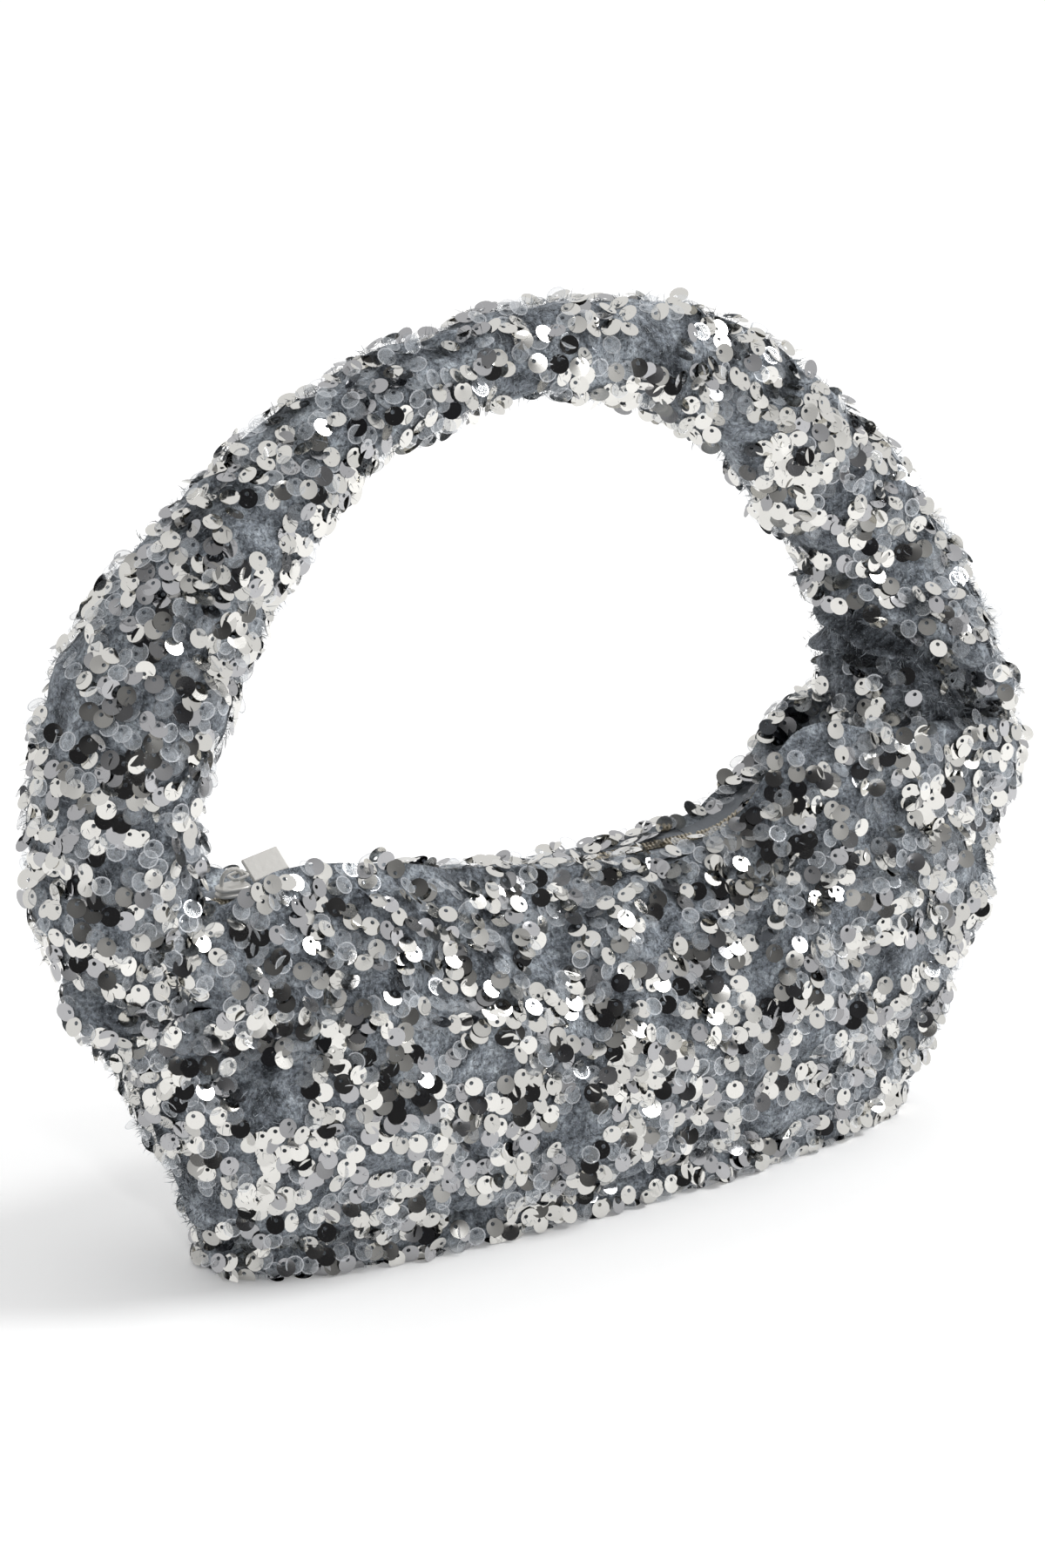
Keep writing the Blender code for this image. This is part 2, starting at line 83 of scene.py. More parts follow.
# handle: distance of its middle from the pivot, and its thickness, against the angle
ARCH = ((-10, 120), (0, 124), (8, 127.5), (20, 129), (30, 126.5), (38, 124.3), (51, 124.3), (65, 125.8),
        (80, 126.6), (107, 126), (120, 124.6), (135, 122), (150, 121.5), (162, 121.5),
        (172, 118.5), (180, 115.5), (190, 112))
THICKNESS = ((-10, 16), (0, 16.5), (8, 15.8), (14.4, 15.2), (16.8, 25.5), (21, 22.6), (29, 18.0),
             (40, 16.4), (51, 15.4), (65, 13.0), (80, 11.6), (95, 11.2), (107, 11.8), (118, 13.2),
             (130, 15.8), (143, 19.2), (154, 21), (163, 20.3), (172, 19.4), (180, 20),
             (183, 19.5), (186, 16), (190, 15))
LIP_TILT = 12.0                # degrees that the overhanging gather is lower on its outer side
FOLD_PITCH, FOLD_HEIGHT = 4.8, 2.4
TILT_FADE = (55.0, 25.0)       # angle at which that ends, and over how many degrees
RECESS_FILL = 10.5             # the neck under the gather is fuller towards the hand gap
RECESS_TOP = 15.0              # angle at which the folded neck ends under the gather
GATHER_TRIM = 5.0              # the gather is flatter on the side of the hand gap


def curve_through(points):
    """Smooth function through (where, value) pairs."""
    xs = np.array([p[0] for p in points], float)
    ys = np.array([p[1] for p in points], float)
    slopes = np.gradient(ys, xs)

    def value(x):
        x = np.clip(np.asarray(x, float), xs[0], xs[-1])
        i = np.clip(np.searchsorted(xs, x) - 1, 0, len(xs) - 2)
        width = xs[i + 1] - xs[i]
        t = (x - xs[i]) / width
        return ((2 * t ** 3 - 3 * t ** 2 + 1) * ys[i] + (t ** 3 - 2 * t ** 2 + t) * width * slopes[i]
                + (3 * t ** 2 - 2 * t ** 3) * ys[i + 1] + (t ** 3 - t ** 2) * width * slopes[i + 1])
    return value


top_front = curve_through(TOP_FRONT)
top_back = curve_through(TOP_BACK)
arch_radius = curve_through(ARCH)
handle_thickness = curve_through(THICKNESS)
right_reach = curve_through(RIGHT_REACH)
left_reach = curve_through(LEFT_REACH)


def ease(value):
    """Smooth step from 0 to 1."""
    value = np.clip(value, 0.0, 1.0)
    return value * value * (3 - 2 * value)


def waves(seed, scale, count=14):
    """Smooth random function of position, about -1 to 1, with features of that size."""
    draw = np.random.default_rng(seed)
    direction = draw.normal(size=(count, 3))
    direction /= np.linalg.norm(direction, axis=1)[:, None]
    rate = direction * (2 * math.pi / (scale * draw.uniform(0.7, 1.6, (count, 1))))
    phase = draw.uniform(0, 2 * math.pi, count)

    def value(points):
        return np.sin(points @ rate.T + phase).sum(axis=-1) / math.sqrt(count / 2) / 1.6
    return value


def outline(turn, squareness):
    """Point of a rounded rectangle with half sizes of 1."""
    c, s = np.cos(turn), np.sin(turn)
    reach = (np.abs(c) ** squareness + np.abs(s) ** squareness) ** (-1 / squareness)
    return reach * c, reach * s


def vertex_normals(grid, closed):
    """Unit normals of a grid: outwards, where its columns run anticlockwise round its rows."""
    if closed:
        across = np.roll(grid, -1, axis=1) - np.roll(grid, 1, axis=1)
    else:
        across = np.gradient(grid, axis=1)
    along = np.gradient(grid, axis=0)
    normal = np.cross(across, along)
    return normal / np.maximum(np.linalg.norm(normal, axis=2), 1e-9)[..., None]


def body_grid(rows=44, columns=300):
    """The cloth of the body from the base seam to its top edge."""
    turn = np.linspace(0, 2 * math.pi, columns, endpoint=False)[None, :]
    level = np.linspace(0, 1, rows)[:, None]
    nominal, across = outline(turn, TOP_ROUNDNESS)
    nominal = NOMINAL_LENGTH * nominal
    to_back = ease((across + 1) / 2)
    top = top_front(nominal) + (top_back(nominal) - top_front(nominal)) * to_back
    height = SEAM_Z + level * (top - SEAM_Z)
    squareness = BASE_ROUNDNESS + (TOP_ROUNDNESS - BASE_ROUNDNESS) * level ** 1.5
    x, y = outline(turn, squareness)
    to_right = ease((x + 1) / 2)
    length = left_reach(height) + (right_reach(height) - left_reach(height)) * to_right
    closing = np.clip((level - BULGE_LEVEL) / (1 - BULGE_LEVEL), 0, 1)
    middle_depth = np.where(
        level < BULGE_LEVEL,
        BASE_DEPTH + (BULGE_DEPTH - BASE_DEPTH) * ease(level / BULGE_LEVEL),
        BULGE_DEPTH + (HEM_DEPTH - BULGE_DEPTH) * closing ** 2.3)
    end_depth = BASE_DEPTH + 1.5 * np.sin(level * math.pi) + (END_DEPTH - BASE_DEPTH) * level
    at_end = ease((np.abs(length * x - LEAN_X) - END_FROM) / END_WIDTH)
    depth = middle_depth + (end_depth - middle_depth) * at_end
    above = height - SEAM_Z
    puff = (PUFF * np.exp(-((above - PUFF_ABOVE) / PUFF_HEIGHT) ** 2)
            - SEAM_DIP * np.exp(-(above / SEAM_DIP_HEIGHT) ** 2))
    return np.stack(np.broadcast_arrays((length + puff) * x, (depth + puff) * y, height), axis=-1)


def handle_grid(columns=64):
    """The handle's cover, from inside the right shoulder over the top to the left one."""
    angle = np.concatenate([np.linspace(-10, 30, 80), np.linspace(30, 190, 185)[1:]])[:, None]
    radians = np.radians(angle)
    round_it = np.linspace(0, 2 * math.pi, columns, endpoint=False)[None, :]
    reach = arch_radius(angle)
    low_right = ease((TILT_FADE[0] - angle) / TILT_FADE[1])
    gathered = angle + LIP_TILT * np.cos(round_it) * low_right
    recess = ease((gathered - 1) / 3) * ease((RECESS_TOP - gathered) / 2.5)
    inner_side = (ease(-np.cos(round_it)) * ease((RECESS_TOP + 1 - gathered) / 3)
                  * ease((gathered + 6) / 5))
    flatter = (ease(-np.cos(round_it)) * ease((gathered - RECESS_TOP) / 2)
               * ease((36 - gathered) / 12))
    folds = FOLD_HEIGHT * np.sin(2 * math.pi * (gathered + 1.1 * np.sin(2 * round_it)) / FOLD_PITCH)
    radius = (handle_thickness(gathered) + recess * folds + RECESS_FILL * inner_side
              - GATHER_TRIM * flatter)
    out = np.stack([np.cos(radians), 0 * radians, np.sin(radians)], axis=-1)
    middle = np.array([LEAN_X, 0, PIVOT_Z]) + reach[..., None] * out
    side = np.array([0.0, 1.0, 0.0])
    ring = np.cos(round_it)[..., None] * out + np.sin(round_it)[..., None] * side
    return middle + radius[..., None] * ring


def gathered_angle(points):
    """Angle round the handle's pivot, measured so that the tilted gather is level."""
    out = np.hypot(points[..., 0] - LEAN_X, points[..., 2] - PIVOT_Z)
    angle = np.degrees(np.arctan2(points[..., 2] - PIVOT_Z, points[..., 0] - LEAN_X))
    outward = np.clip((out - ARCH[2][1]) / 18.0, -1, 1)
    return angle + LIP_TILT * outward * ease((TILT_FADE[0] - angle) / TILT_FADE[1])


ROLL_SHARE, ROLL_AT, ROLL_WIDTH = 0.55, 1.9, 0.8     # raised roll on both sides of a furrow
DENT_SIZE, FOLD_SIZE, FOLD_SHARPNESS = 38, 13, 0.7


def crease(grid, start, end, width, depth):
    """Presses a soft furrow along a line into a closed grid, with a raised roll on its sides."""
    start, end = np.array(start, float), np.array(end, float)
    line = end - start
    share = np.clip(((grid - start) @ line) / (line @ line), 0, 1)
    away = np.linalg.norm(grid - (start + share[..., None] * line), axis=-1) / width
    profile = -np.exp(-away ** 2) + ROLL_SHARE * np.exp(-((away - ROLL_AT) / ROLL_WIDTH) ** 2)
    return grid + vertex_normals(grid, True) * (depth * profile)[..., None]


def crumple(grid, seed, coarse, fine):
    """Soft dents and small crushed folds in a closed grid, along its normals."""
    dents = waves(seed, DENT_SIZE)(grid) * coarse
    folds = waves(seed + 1, FOLD_SIZE, 20)(grid)
    folds = (np.abs(folds) ** FOLD_SHARPNESS * np.sign(folds)) * fine
    return grid + vertex_normals(grid, True) * (dents + folds)[..., None]


# ---- mesh makers -------------------------------------------
def mesh_object(name, points, faces, materials, smooth=True, slots=None):
    """Object from points in millimetres and an equal-sided face array (or a list of them)."""
    mesh = bpy.data.meshes.new(name)
    faces = np.asarray(faces, np.int32)
    sides = faces.shape[1]
    mesh.vertices.add(len(points))
    mesh.vertices.foreach_set("co", (np.asarray(points, float) * MM).ravel())
    mesh.loops.add(faces.size)
    mesh.loops.foreach_set("vertex_index", faces.ravel())
    mesh.polygons.add(len(faces))
    mesh.polygons.foreach_set("loop_start", np.arange(0, faces.size, sides, dtype=np.int32))
    mesh.polygons.foreach_set("use_smooth", np.full(len(faces), smooth))
    for item in materials if isinstance(materials, (list, tuple)) else [materials]:
        mesh.materials.append(item)
    if slots is not None:
        mesh.polygons.foreach_set("material_index", np.asarray(slots, np.int32))
    mesh.update(calc_edges=True)
    made = bpy.data.objects.new(name, mesh)
    bpy.context.collection.objects.link(made)
    return made


def grid_faces(rows, columns, closed):
    """Four-sided faces of a grid; a closed one joins its last column to its first."""
    row, col = np.meshgrid(np.arange(rows - 1), np.arange(columns if closed else columns - 1),
                           indexing="ij")
    nxt = (col + 1) % columns
    return np.stack([row * columns + col, row * columns + nxt,
                     (row + 1) * columns + nxt, (row + 1) * columns + col], axis=-1).reshape(-1, 4)


def grid_object(name, grid, closed, mat):
    """Object from a whole grid."""
    return mesh_object(name, grid.reshape(-1, 3), grid_faces(*grid.shape[:2], closed), mat)


def part_of(name, points, faces, keep, materials):
    """Object from only some faces of a larger mesh."""
    faces = faces[keep]
    used, index = np.unique(faces, return_inverse=True)
    return mesh_object(name, points[used], index.reshape(faces.shape), materials)


# ---- materials ---------------------------------------------
def new_material(name):
    made = bpy.data.materials.new(name)
    made.use_nodes = True
    tree = made.node_tree
    return made, tree, tree.nodes["Principled BSDF"]


def velvet_material(name, dark, mid, light):
    """Crushed pile: dark and light patches, fine mottling, pale flecks and a soft sheen."""
    made, tree, shader = new_material(name)
    add, link = tree.nodes.new, tree.links.new
    place = add("ShaderNodeTexCoord")

    def noise(scale, detail, roughness, distortion=0.0):
        node = add("ShaderNodeTexNoise")
        node.inputs["Scale"].default_value = scale
        node.inputs["Detail"].default_value = detail
        node.inputs["Roughness"].default_value = roughness
        node.inputs["Distortion"].default_value = distortion
        link(place.outputs["Object"], node.inputs["Vector"])
        return node.outputs["Fac"]

    def mix(kind, share, first, second):
        node = add("ShaderNodeMix")
        node.data_type = 'RGBA'
        node.blend_type = kind
        if isinstance(share, float):
            node.inputs["Factor"].default_value = share
        else:
            link(share, node.inputs["Factor"])
        for socket, value in ((6, first), (7, second)):
            if isinstance(value, tuple):
                node.inputs[socket].default_value = value
            else:
                link(value, node.inputs[socket])
        return node.outputs[2]

    crush = noise(120, 6, 0.68, 0.5)
    pile = noise(900, 3, 0.7)
    fleck = noise(2300, 2, 0.6)
    shade = add("ShaderNodeValToRGB")
    shade.color_ramp.elements[0].position = 0.36
    shade.color_ramp.elements[0].color = (*dark, 1)
    shade.color_ramp.elements[1].position = 0.68
    shade.color_ramp.elements[1].color = (*light, 1)
    centre = shade.color_ramp.elements.new(0.50)
    centre.color = (*mid, 1)
    link(crush, shade.inputs["Fac"])
    spread = add("ShaderNodeMapRange")
    spread.inputs["From Min"].default_value = 0.34
    spread.inputs["From Max"].default_value = 0.66
    link(pile, spread.inputs["Value"])
    mottled = mix('OVERLAY', 0.65, shade.outputs["Color"], spread.outputs["Result"])
    bright = add("ShaderNodeMapRange")
    bright.inputs["From Min"].default_value = 0.60
    bright.inputs["From Max"].default_value = 0.70
    bright.inputs["To Max"].default_value = 0.55
    link(fleck, bright.inputs["Value"])
    colour = mix('MIX', bright.outputs["Result"], mottled, (0.55, 0.59, 0.63, 1))
    link(colour, shader.inputs["Base Color"])
    normal = None
    for height, strength, distance in ((crush, 0.9, 0.0018), (pile, 0.8, 0.0006),
                                       (fleck, 0.5, 0.0003)):
        bump = add("ShaderNodeBump")
        bump.inputs["Strength"].default_value = strength
        bump.inputs["Distance"].default_value = distance
        link(height, bump.inputs["Height"])
        if normal is not None:
            link(normal, bump.inputs["Normal"])
        normal = bump.outputs["Normal"]
    link(normal, shader.inputs["Normal"])
    shader.inputs["Roughness"].default_value = 0.75
    shader.inputs["Specular IOR Level"].default_value = 0.2
    shader.inputs["Sheen Weight"].default_value = 0.45
    shader.inputs["Sheen Roughness"].default_value = 0.35
    shader.inputs["Sheen Tint"].default_value = (0.84, 0.88, 0.94, 1)
    return made


def plain_material(name, colour, roughness, metallic=0.0, alpha=1.0, coat=0.0, grain=0.0):
    """Constant-colour material, with a fine bump where grain is given."""
    made, tree, shader = new_material(name)
    shader.inputs["Base Color"].default_value = (*colour, 1)
    shader.inputs["Roughness"].default_value = roughness
    shader.inputs["Metallic"].default_value = metallic
    shader.inputs["Alpha"].default_value = alpha
    shader.inputs["Coat Weight"].default_value = coat
    if grain:
        place = tree.nodes.new("ShaderNodeTexCoord")
        noise = tree.nodes.new("ShaderNodeTexNoise")
        noise.inputs["Scale"].default_value = 900
        tree.links.new(place.outputs["Object"], noise.inputs["Vector"])
        bump = tree.nodes.new("ShaderNodeBump")
        bump.inputs["Strength"].default_value = grain
        bump.inputs["Distance"].default_value = 0.0003
        tree.links.new(noise.outputs["Fac"], bump.inputs["Height"])
        tree.links.new(bump.outputs["Normal"], shader.inputs["Normal"])
    return made


VELVET = velvet_material("velvet", (0.052, 0.059, 0.068), (0.190, 0.212, 0.240), (0.45, 0.49, 0.53))
# darker copy of the velvet for the folded neck under the handle's gather: painted shade of that recess
PAINTED_SHADE_VELVET = velvet_material("velvet_neck", (0.024, 0.027, 0.032), (0.095, 0.107, 0.122),
                              (0.36, 0.39, 0.43))
PILE = plain_material("velvet_pile", (0.36, 0.39, 0.42), 0.8)
DARK_PILE = plain_material("velvet_pile_dark", (0.06, 0.07, 0.08), 0.8)
SILVER = plain_material("sequin_silver", (0.685, 0.675, 0.645), 0.10, metallic=1.0)
PEWTER = plain_material("sequin_pewter", (0.40, 0.40, 0.41), 0.13, metallic=1.0)
CLEAR = plain_material("sequin_clear", (0.62, 0.66, 0.70), 0.05, alpha=0.30, coat=1.0)
RIM = plain_material("sequin_clear_rim", (0.66, 0.68, 0.71), 0.12, metallic=0.6, alpha=0.60)
NICKEL = plain_material("satin_nickel_detail", (0.66, 0.645, 0.615), 0.42, metallic=0.45, grain=0.12)
LINING = plain_material("lining_detail", (0.10, 0.11, 0.125), 0.6, grain=0.4)
WADDING = plain_material("wadding_detail", (0.70, 0.69, 0.65), 0.95, grain=0.8)
TAPE = plain_material("zip_tape_detail", (0.20, 0.215, 0.235), 0.85, grain=0.6)
COIL = plain_material("zip_coil_detail", (0.50, 0.45, 0.36), 0.32, metallic=0.7)
BOARD = plain_material("board_detail", (0.36, 0.31, 0.25), 0.9, grain=0.6)


# ---- sequins -----------------------------------------------
SEQUIN_RADIUS = 2.5
HOLE_RADIUS = 0.55
HOLE_OFFSET = 1.15             # the hole is off the middle
CUP_DEPTH = 0.03
SIDES = 16
RIM_SHARE = 0.86               # where the rim of a clear disc begins
TABLE_GAP = 0.15               # lowest that anything loose reaches above the table
STITCH_STEP = 3.15
LINE_GAP = 3.35
START_ROOM, ROOM = 0.95, 0.86  # shares of the gap kept free at the start of a line and on it
LONGEST_LINE = 60              # stitches
FIRST_BEND, BEND_KEPT, NEW_BEND = 0.25, 0.75, 0.22      # radians per stitch
TURNS = (0, 0.5, -0.5, 1.0, -1.0, 1.5, -1.5)            # tried when the way is not free
HANG = np.array([0.05, 0.0, -1.0])
HANG_SCATTER = 0.62
TILT_SHAPE, TILT_SCALE, LEAST_TILT, MOST_TILT = 1.8, 9.0, 4, 70     # degrees
ROLL_SCATTER = 13                                       # degrees
LEAST_LIFT, MOST_LIFT = 0.5, 1.5


class Cloth:
    """A grid of cloth that can be walked over in steps of real length."""

    def __init__(self, grid, closed):
        self.grid, self.closed = grid, closed
        self.rows, self.columns = grid.shape[:2]
        self.normals = vertex_normals(grid, closed)
        if closed:
            across = (np.roll(grid, -1, axis=1) - np.roll(grid, 1, axis=1)) / 2
        else:
            across = np.gradient(grid, axis=1)
        self.across = np.linalg.norm(across, axis=2)
        self.along = np.linalg.norm(np.gradient(grid, axis=0), axis=2)

    def inside(self, row, col):
        """Whether that place is on the cloth."""
        if not 0 <= row <= self.rows - 1.001:
            return False
        return self.closed or 0 <= col <= self.columns - 1.001

    def sample(self, array, row, col):
        """Value of an array of the cloth between its grid points."""
        r, c = int(row), int(col) % self.columns
        fr, fc = row - int(row), col - int(col)
        c2 = (c + 1) % self.columns
        return ((1 - fr) * ((1 - fc) * array[r, c] + fc * array[r, c2])
                + fr * ((1 - fc) * array[r + 1, c] + fc * array[r + 1, c2]))

    def step(self, row, col, heading, length):
        """Place that is that far away in that direction."""
        across = max(self.sample(self.across, row, col), 0.05)
        along = max(self.sample(self.along, row, col), 0.05)
        new_row = row + math.sin(heading) * length / along
        new_col = col + math.cos(heading) * length / across
        if self.closed:
            new_col %= self.columns
        return new_row, new_col


class Taken:
    """Remembers points, and says whether a new one is too near an old one."""

    def __init__(self, cell):
        self.cell, self.cells = cell, {}

    def key(self, p):
        return tuple(int(math.floor(v / self.cell)) for v in p)

    def near(self, p, limit, skip=()):
        kx, ky, kz = self.key(p)
        for x in (kx - 1, kx, kx + 1):
            for y in (ky - 1, ky, ky + 1):
                for z in (kz - 1, kz, kz + 1):
                    for index, other in self.cells.get((x, y, z), ()):
                        if index not in skip and math.dist(p, other) < limit:
                            return True
        return False

    def add(self, index, p):
        self.cells.setdefault(self.key(p), []).append((index, tuple(p)))


def next_stitch(cloth, taken, last, row, col, heading):
    """Next free place of a line and its heading: straight on, or turned, or None."""
    for turn in TURNS:
        new_row, new_col = cloth.step(row, col, heading + turn, STITCH_STEP)
        if cloth.inside(new_row, new_col):
            ahead = cloth.sample(cloth.grid, new_row, new_col)
            if not taken.near(ahead, LINE_GAP * ROOM, last):
                return new_row, new_col, heading + turn
    return None


def stitch_lines(cloth, seed, tries, keep_at):
    """Places, as (row, column), of stitches along wandering lines."""
    draw = np.random.default_rng(seed)
    taken = Taken(LINE_GAP)
    found = []
    for _ in range(tries):
        start = draw.uniform(0, cloth.rows - 1.01), draw.uniform(0, cloth.columns - 1.01)
        if taken.near(cloth.sample(cloth.grid, *start), LINE_GAP * START_ROOM):
            continue
        first = draw.uniform(0, 2 * math.pi)
        for heading in (first, first + math.pi):
            row, col = start if heading == first else cloth.step(*start, heading, STITCH_STEP)
            bend = draw.normal(0, FIRST_BEND)
            last = ()
            for _ in range(LONGEST_LINE):
                if not cloth.inside(row, col):
                    break
                point = cloth.sample(cloth.grid, row, col)
                if taken.near(point, LINE_GAP * ROOM, last):
                    break
                last = (len(found),)
                taken.add(len(found), point)
                found.append((point, row, col))
                bend = BEND_KEPT * bend + draw.normal(0, NEW_BEND)
                ahead = next_stitch(cloth, taken, last, row, col, heading + bend)
                if ahead is None:
                    break
                row, col, heading = ahead
    return [(row, col) for point, row, col in found if keep_at(point)]


def sequin_shape():
    """Points of one cupped disc round its stitch hole, which is at the origin."""
    angles = np.linspace(0, 2 * math.pi, SIDES, endpoint=False)
    hole = np.stack([HOLE_RADIUS * np.cos(angles), HOLE_RADIUS * np.sin(angles), 0 * angles], 1)
    middle = np.array([HOLE_OFFSET, 0, 0])
    rim = middle + np.stack([SEQUIN_RADIUS * np.cos(angles), SEQUIN_RADIUS * np.sin(angles),
                             np.full(SIDES, CUP_DEPTH)], 1)
    i = np.arange(SIDES)
    faces = np.stack([i, i + SIDES, (i + 1) % SIDES + SIDES, (i + 1) % SIDES], 1)
    return np.concatenate([hole, rim]), faces


def lay_sequins(point, normal, seed):
    """Frames of the discs on their stitches: arrays of origin, x, y and z axes."""
    draw = np.random.default_rng(seed)
    count = len(point)
    hang = HANG + draw.normal(0, HANG_SCATTER, (count, 3))
    hang -= (hang * normal).sum(1)[:, None] * normal
    hang /= np.maximum(np.linalg.norm(hang, axis=1), 1e-6)[:, None]
    tilt = draw.gamma(TILT_SHAPE, TILT_SCALE, count) + LEAST_TILT
    tilt = np.radians(np.clip(tilt, LEAST_TILT, MOST_TILT))
    roll = np.radians(draw.normal(0, ROLL_SCATTER, count))
    side = np.cross(normal, hang)
    face = normal * np.cos(tilt)[:, None] - hang * np.sin(tilt)[:, None]
    face = face * np.cos(roll)[:, None] + side * np.sin(roll)[:, None]
    along = hang - (hang * face).sum(1)[:, None] * face
    along /= np.linalg.norm(along, axis=1)[:, None]
    across = np.cross(face, along)
    lift = draw.uniform(LEAST_LIFT, MOST_LIFT, count)
    return point + normal * lift[:, None], along, across, face


def rimmed_shape():
    """The same disc with a narrow ring round its edge, in the second slot."""
    points, faces = sequin_shape()
    middle = np.array([HOLE_OFFSET, 0, 0])
    rim = points[SIDES:]
    inner = middle + (rim - middle) * np.array([RIM_SHARE, RIM_SHARE, 1.0])
    i = np.arange(SIDES)
    ring = np.stack([i + 2 * SIDES, i + SIDES, (i + 1) % SIDES + SIDES,
                     (i + 1) % SIDES + 2 * SIDES], 1)
    inside = np.stack([i, i + 2 * SIDES, (i + 1) % SIDES + 2 * SIDES, (i + 1) % SIDES], 1)
    return np.concatenate([points, inner]), np.concatenate([inside, ring])


def sequin_piece(name, frames, chosen, mat):
    """One object of all the chosen discs; clear ones have a rim of their own."""
    clear = mat is CLEAR
    shape, faces = rimmed_shape() if clear else sequin_shape()
    origin, along, across, face = (f[chosen] for f in frames)
    points = (origin[:, None, :] + shape[None, :, 0, None] * along[:, None, :]
              + shape[None, :, 1, None] * across[:, None, :]
              + shape[None, :, 2, None] * face[:, None, :])
    count = len(origin)
    points[..., 2] = np.maximum(points[..., 2], TABLE_GAP)
    all_faces = (faces[None] + (np.arange(count) * len(shape))[:, None, None]).reshape(-1, 4)
    slots = np.tile(np.repeat([0, 1], SIDES), count) if clear else None
    return mesh_object(name, points.reshape(-1, 3), all_faces, (mat, RIM) if clear else mat,
                       slots=slots)


# ---- cloth simulation --------------------------------------
SIM_FRAMES = 22
CLOTH_MASS = 0.15              # kg of each vertex, as the solver has it
STRETCH, SHEAR, BENDING, AIR = 12, 4, 0.05, 3
GROWTH = 0.06                  # share by which the cloth is too large for its shape, so it wrinkles


def cloth_settings(own, pressure):
    """A soft cloth that is blown up a little and pinned by the group called held."""
    own.quality = 5
    own.mass = CLOTH_MASS
    own.tension_stiffness = STRETCH
    own.compression_stiffness = STRETCH
    own.shear_stiffness = SHEAR
    own.bending_stiffness = BENDING
    own.air_damping = AIR
    own.vertex_group_mass = "held"
    own.use_pressure = True
    own.uniform_pressure_force = pressure
    own.shrink_min = -GROWTH
    own.shrink_max = -GROWTH
    own.effector_weights.gravity = 0


def settle(grid, held_rows, pressure, cap):
    """Lets a closed grid of cloth swell and wrinkle, with its end rows held; capped moves."""
    rows, columns = grid.shape[:2]
    cloth = mesh_object("cloth_work", grid.reshape(-1, 3), grid_faces(rows, columns, True), VELVET)
    held = cloth.vertex_groups.new(name="held")
    index = np.arange(rows * columns).reshape(rows, columns)
    ends = np.concatenate([index[:held_rows], index[-held_rows:]])
    held.add(ends.ravel().tolist(), 1.0, 'REPLACE')
    modifier = cloth.modifiers.new("cloth", 'CLOTH')
    modifier.point_cache.frame_start = 1
    modifier.point_cache.frame_end = SIM_FRAMES
    cloth_settings(modifier.settings, pressure)
    modifier.collision_settings.use_collision = False
    modifier.collision_settings.use_self_collision = False
    for frame_number in range(1, SIM_FRAMES + 1):
        bpy.context.scene.frame_set(frame_number)
    ready = cloth.evaluated_get(bpy.context.evaluated_depsgraph_get())
    flat = np.empty(rows * columns * 3)
    ready.data.vertices.foreach_get("co", flat)
    moved = flat.reshape(rows, columns, 3) / MM - grid
    mesh = cloth.data
    bpy.data.objects.remove(cloth, do_unlink=True)
    bpy.data.meshes.remove(mesh)
    bpy.context.scene.frame_set(1)
    length = np.linalg.norm(moved, axis=-1, keepdims=True)
    return grid + moved * np.minimum(1.0, cap / np.maximum(length, 1e-6))


# ---- build the cloth ---------------------------------------
# furrows in the body: start, end, width and depth
CREASES = (((-146, 4, 95), (-136, -18, 88), 6, 7),
           ((-138, -16, 88), (-106, -27, 66), 8, 5.5),
           ((-108, -27, 68), (-78, -31, 60), 8, 3),
           ((120, -20, 96), (60, -22, 84), 8, 2.5),
           ((20, -31, 77), (46, -31, 75), 4, 2),
           ((100, 24, 80), (20, 31, 60), 9, 3),
           ((-120, 22, 84), (-50, 31, 58), 8, 3))

rest_body = body_grid()
for start, end, width, depth in CREASES:
    rest_body = crease(rest_body, start, end, width, depth)
rest_handle = handle_grid()
body = settle(crumple(rest_body, 5, 1.3, 0.9), 2, 1.4, 5)
handle = settle(crumple(rest_handle, 9, 1.0, 0.9), 6, 1.0, 4)

COLLAR_RIGHT, COLLAR_LEFT = 62, -112
CORE_SHARE = 0.7


def in_collar(points):
    """True where the cloth belongs to the shoulders that the handle pulls on."""
    at_end = (points[:, 0] > COLLAR_RIGHT) | (points[:, 0] < COLLAR_LEFT)
    return (points[:, 2] > BLEND_START_Z) & at_end


body_faces = grid_faces(*body.shape[:2], True)
flat_body = body.reshape(-1, 3)
collar_faces = in_collar(flat_body[body_faces].mean(axis=1))
body_skin = part_of("body_velvet", flat_body, body_faces, ~collar_faces, VELVET)
collar_skin = part_of("shoulder_velvet", flat_body, body_faces, collar_faces, VELVET)
handle_faces = grid_faces(*handle.shape[:2], True)
flat_handle = handle.reshape(-1, 3)
# faces of the folded neck, which take the darker velvet: painted shade in the recess
painted_shade_faces = gathered_angle(flat_handle[handle_faces].mean(axis=1)) < RECESS_TOP + 0.5
handle_skin = mesh_object("handle_velvet", flat_handle, handle_faces, (VELVET, PAINTED_SHADE_VELVET),
                          slots=painted_shade_faces.astype(int))
core = handle.mean(axis=1, keepdims=True)
wadding_grid = core + CORE_SHARE * (handle - core)
handle_wadding = grid_object("handle_wadding", wadding_grid, True, WADDING)


# height and overhang of the rings of the base, from the middle of the underside to the seam
BASE_RINGS = ((0.35, -60.0), (0.35, -26.5), (0.35, -10.0), (0.4, -3.5), (0.9, -1.4), (2.2, -0.2),
              (4.5, 0.4), (7.0, 0.2), (9.0, -0.9), (10.3, -2.2))
STRIP_START = 3                # the first ring that carries sequins


